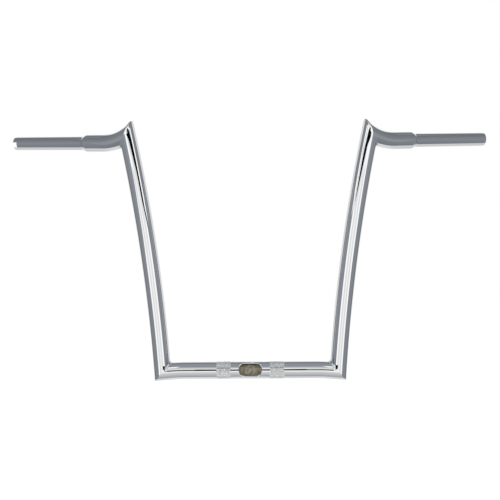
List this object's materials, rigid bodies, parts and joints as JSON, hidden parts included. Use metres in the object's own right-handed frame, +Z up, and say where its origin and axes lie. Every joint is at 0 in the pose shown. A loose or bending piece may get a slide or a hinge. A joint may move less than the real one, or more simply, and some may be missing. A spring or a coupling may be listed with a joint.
{
  "type": "ape hanger handlebar",
  "caption": "Tall one-piece motorcycle handlebar of welded chromed steel tube, with pointed mitred peaks, swept-back grip ends, knurled clamping bands and a wiring slot.",
  "frame": {"origin": "centre of the clamp tube, on its axis and midway between the knurled clamping bands", "axes": "+X along the clamp tube to the rider's left (clutch side), +Y back towards the rider, +Z up in the plane of the risers"},
  "size_m": [0.8979, 0.1106, 0.4749],
  "materials": {
    "chrome": "polished chrome plate over ground welds",
    "raw_steel": "unplated inner wall, dull and slightly stained"
  },
  "bodies": {
    "root": {"clamp_tube": "chrome", "riser_throttle_side": "chrome", "riser_clutch_side": "chrome", "arm_throttle_side": "chrome", "arm_clutch_side": "chrome", "grip_throttle_side": "chrome", "grip_clutch_side": "chrome"}
  },
  "joints": []
}
